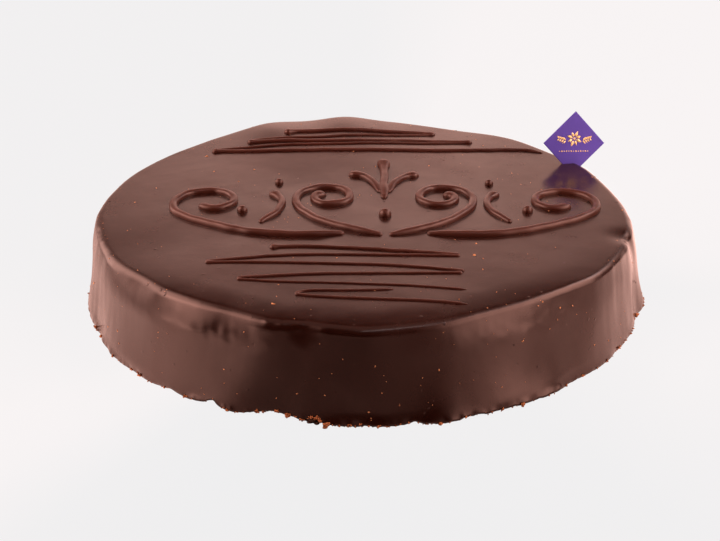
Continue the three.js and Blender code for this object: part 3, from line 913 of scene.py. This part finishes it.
glaze_skin = chocolate("glaze_skin", (0.0114, 0.0027, 0.0015), (0.0175, 0.0045, 0.0026), 0.22)
# The piping is the same chocolate as the glaze; its base colour, about three times lighter, is painted
# light.
piped_skin_painted_light = chocolate("piped_skin_painted_light", (0.040, 0.0100, 0.0056), (0.056, 0.0150, 0.0086), 0.34)
sponge_crumb = crumb("sponge_crumb", (0.09, 0.030, 0.010), (0.30, 0.115, 0.040), 420)
loose_crumb = crumb("loose_crumb", (0.16, 0.050, 0.015), (0.50, 0.20, 0.075), 900)
speck_crumb = crumb("speck_crumb", (0.34, 0.13, 0.05), (0.80, 0.42, 0.20), 1500)
# Near-black crumb for the hollow's clods: painted shade, not the sponge's own colour.
painted_shade_crumb = crumb("painted_shade_crumb", (0.008, 0.003, 0.002), (0.05, 0.018, 0.008), 600)

glaze_coat = coat.piece("glaze_coat", glaze_skin, "glaze")
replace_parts(glaze_coat, "glaze")
# The piped pieces, each with the size of the voxels that its strokes are fused at.
for name, shape, voxel in (
    ("piping_back", back_lines, 0.28),
    ("piping_front", front_lines, 0.24),
    ("piping_scroll", scroll, 0.39),
):
    piping = shape.piece(name, piped_skin_painted_light, "glaze")
    fuse(piping, voxel)
    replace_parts(piping, "glaze")
specks.piece("glaze_specks", speck_crumb, "sponge")
bumps.piece("glaze_bumps", glaze_skin, "glaze")
hem_crumbs.piece("hem_crumbs", loose_crumb, "sponge")
# The chipped hollow's clods, near-black as painted shade.
chip_shade_bed.piece("chip_shade_bed", painted_shade_crumb, "sponge")
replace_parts(card_sheet.piece("card_sheet", card_stock("card_stock"), "card"), "card")
card_print.piece("card_print", gold_foil("gold_foil"), "card")
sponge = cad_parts["sponge"]
sponge.data.materials.clear()
sponge.data.materials.append(sponge_crumb)

# ---------------------------------------------------------------- floor, light and camera
PALE = (0.872, 0.872, 0.880, 1)
WARM = (1.0, 0.58, 0.49)
COOL = (1.0, 0.93, 0.98)


def stage_rings(name, radii, heights, count):
    """A sheet round the cake, in metres, that isn't part of it: a disc, a ring or a wall through rings of
    those radii and heights. Returns it, its points and their angles."""
    angle = ring_angles(count)
    rings = [polar(angle, r + 0 * angle, z) for r, z in np.broadcast(radii, heights)]
    faces = []
    for j in range(len(rings) - 1):
        faces += ring_faces(count, count, j * count, (j + 1) * count)
    points = np.concatenate(rings)
    mesh = bpy.data.meshes.new(name)
    mesh.from_pydata(points.tolist(), [], faces)
    sheet = bpy.data.objects.new(name, mesh)
    bpy.context.scene.collection.objects.link(sheet)
    return sheet, points, np.tile(angle, len(rings))


def floor_material():
    """Pale floor: mostly its own even light, so that only a faint shadow shows."""
    material = bpy.data.materials.new("floor_pale")
    material.use_nodes = True
    tree = material.node_tree
    shader = tree.nodes["Principled BSDF"]
    shader.inputs["Base Color"].default_value = (0.03, 0.03, 0.03, 1)
    shader.inputs["Roughness"].default_value = 1.0
    shader.inputs["Specular IOR Level"].default_value = 0.0
    shader.inputs["Emission Color"].default_value = PALE
    shader.inputs["Emission Strength"].default_value = 0.97
    return material


floor, _, _ = stage_rings("floor", np.geomspace(0.001, 12.0, 14), -0.0003, 96)
floor.data.materials.append(floor_material())
floor.visible_diffuse = False
floor.visible_glossy = False

# Light that the table gives the cake's side, as (angle, level): strong at the flanks, weak in front.
GLOW_BY_ANGLE = (
    (0, 1.15), (14, 1.75), (40, 1.95), (80, 1.8), (90, 0.7), (130, 0.75), (166, 0.85), (180, 1.06),
    (194, 1.46), (209, 1.65), (221, 1.95), (229, 1.75), (240, 0.5), (252, 0.24), (270, 0.22), (286, 0.36),
    (300, 0.48), (316, 1.12), (331, 1.65), (346, 1.5), (360, 1.15),
)


def glowing(mesh_object, level, strength):
    """Makes a stage object give warm light, as bright at each of its points as level says. It shows only
    in reflections and by its light."""
    attribute = mesh_object.data.attributes.new("glow", "FLOAT", "POINT")
    attribute.data.foreach_set("value", np.asarray(level, np.float32))
    material = bpy.data.materials.new(mesh_object.name)
    material.use_nodes = True
    tree = material.node_tree
    tree.nodes.clear()
    painted = add_node(tree, "Attribute", {"attribute_name": "glow"}).outputs["Fac"]
    power = multiplied(tree, painted, strength)
    light = add_node(tree, "Emission", Color=(*WARM, 1), Strength=power).outputs[0]
    add_node(tree, "OutputMaterial", Surface=light)
    mesh_object.data.materials.append(material)
    mesh_object.visible_camera = False
    mesh_object.visible_shadow = False


# Up to this distance from the foot, the glow is dimmer all round but brighter in front.
CLOSE_REACH = 0.045
# At the right end it is dimmer again from this distance on, over this step.
FAR_FROM, FAR_STEP = 0.040, 0.016
table_glow, spots, around = stage_rings("table_glow", np.geomspace(0.10, 2.5, 60), 0.0, 144)
level_at = np.interp(around, [a for a, _ in GLOW_BY_ANGLE], [b for _, b in GLOW_BY_ANGLE])
from_foot = np.hypot(spots[:, 0], spots[:, 1]) - FOOT_R * MM
close = (0.3 - 0.8 * near(around, 268, 34)) * (1 - smooth(from_foot / CLOSE_REACH))
far = 0.45 * smooth((from_foot - FAR_FROM) / FAR_STEP) * near(around, 342, 14)
glowing(table_glow, level_at * (1 - close - far), 1.5)

# A soft wall of light round the cake, in metres: each patch has its azimuth and half its width in
# degrees, its middle height and half its height, and how bright it is.
WALL_DISTANCE = 0.62
WALL_HEIGHTS = np.linspace(0.004, 1.004, 41)
PATCHES = (
    (90, 42, 0.20, 0.26, 0.85),
    (90, 20, 0.20, 0.15, 1.1),
    (208, 16, 0.045, 0.055, 2.8),
    (322, 11, 0.05, 0.05, 1.8),
    (266, 30, 0.04, 0.03, 0.8),
    (174, 34, 0.68, 0.33, 6.2),
    (193, 15, 0.50, 0.17, 4.8),
    (206, 12, 0.20, 0.19, 4.0),
    (157, 17, 0.22, 0.21, 4.0),
    (176, 30, 0.16, 0.18, 1.5),
    (46, 20, 0.09, 0.12, 1.5),
    (334, 22, 0.22, 0.17, 5.0),
    (358, 36, 0.56, 0.26, 6.6),
)
light_wall, spots, around = stage_rings("light_wall", WALL_DISTANCE, WALL_HEIGHTS, 120)
level_at = sum(
    level * np.exp(-np.abs(turned(around, at) / wide) ** 3 - ((spots[:, 2] - middle) / tall) ** 4)
    for at, wide, middle, tall, level in PATCHES
)
glowing(light_wall, level_at, 1.0)

# Soft lamps, in metres: the point that they face, their distance from it, and their sizes.
LIT_POINT = Vector((0, 0, 0.04))
LAMP_DISTANCE = 1.1
OVER_SIZE = 0.95
RIM_LIGHT_HIGH = 0.05
# Slim cool lights that draw a thin bright line along the rounded rim: azimuth, elevation, width, radiance.
RIM_LIGHTS = ((5, 49, 0.26, 12.0), (28, 40, 0.26, 26.0), (50, 29, 0.26, 12.0), (298, 63, 0.6, 8.0))


def softbox(name, azimuth, elevation, width, height, radiance, tint):
    """A soft light that faces the cake from that direction; radiance is how bright it looks."""
    lamp = bpy.data.lights.new(name, "AREA")
    lamp.shape = "RECTANGLE"
    lamp.size, lamp.size_y = width, height
    lamp.energy = radiance * math.pi * width * height
    lamp.color = tint
    lamp_object = bpy.data.objects.new(name, lamp)
    a, e = math.radians(azimuth), math.radians(elevation)
    way = Vector((math.cos(a) * math.cos(e), math.sin(a) * math.cos(e), math.sin(e)))
    lamp_object.location = LIT_POINT + way * LAMP_DISTANCE
    lamp_object.rotation_euler = way.to_track_quat("Z", "Y").to_euler()
    lamp_object.visible_camera = False
    bpy.context.scene.collection.objects.link(lamp_object)


softbox("light_over", 90, 88, OVER_SIZE, OVER_SIZE, 0.5, WARM)
for azimuth, elevation, wide, radiance in RIM_LIGHTS:
    softbox(f"light_rim_{azimuth}", azimuth, elevation, wide, RIM_LIGHT_HIGH, radiance, COOL)

# The camera sees a pale backdrop; the cake mirrors only a faint warm surround.
world = bpy.data.worlds.new("studio")
bpy.context.scene.world = world
world.use_nodes = True
tree = world.node_tree
tree.nodes.clear()
seen = add_node(tree, "LightPath").outputs["Is Camera Ray"]
surround = add_node(tree, "Background", Color=(1, 0.75, 0.70, 1), Strength=0.015).outputs[0]
backdrop = add_node(tree, "Background", Color=PALE, Strength=1.0).outputs[0]
seen_or_lit = add_node(tree, "MixShader", _0=seen, _1=surround, _2=backdrop).outputs[0]
add_node(tree, "OutputWorld", Surface=seen_or_lit)

# The photo's camera, in front of the cake and above it, in millimetres and degrees.
CAMERA_AT = (-0.598, -687.14, 325.65)
LOOKS_DOWN, LOOKS_LEFT = 24.675, 0.123
camera_data = bpy.data.cameras.new("camera")
camera_data.sensor_width = 36
camera_data.lens = 76.54
camera = bpy.data.objects.new("camera", camera_data)
camera.location = Vector(CAMERA_AT) * MM
camera.rotation_euler = Euler((math.radians(90 - LOOKS_DOWN), 0, math.radians(LOOKS_LEFT)))
bpy.context.scene.collection.objects.link(camera)
bpy.context.scene.camera = camera
bpy.context.scene.view_settings.view_transform = "Standard"
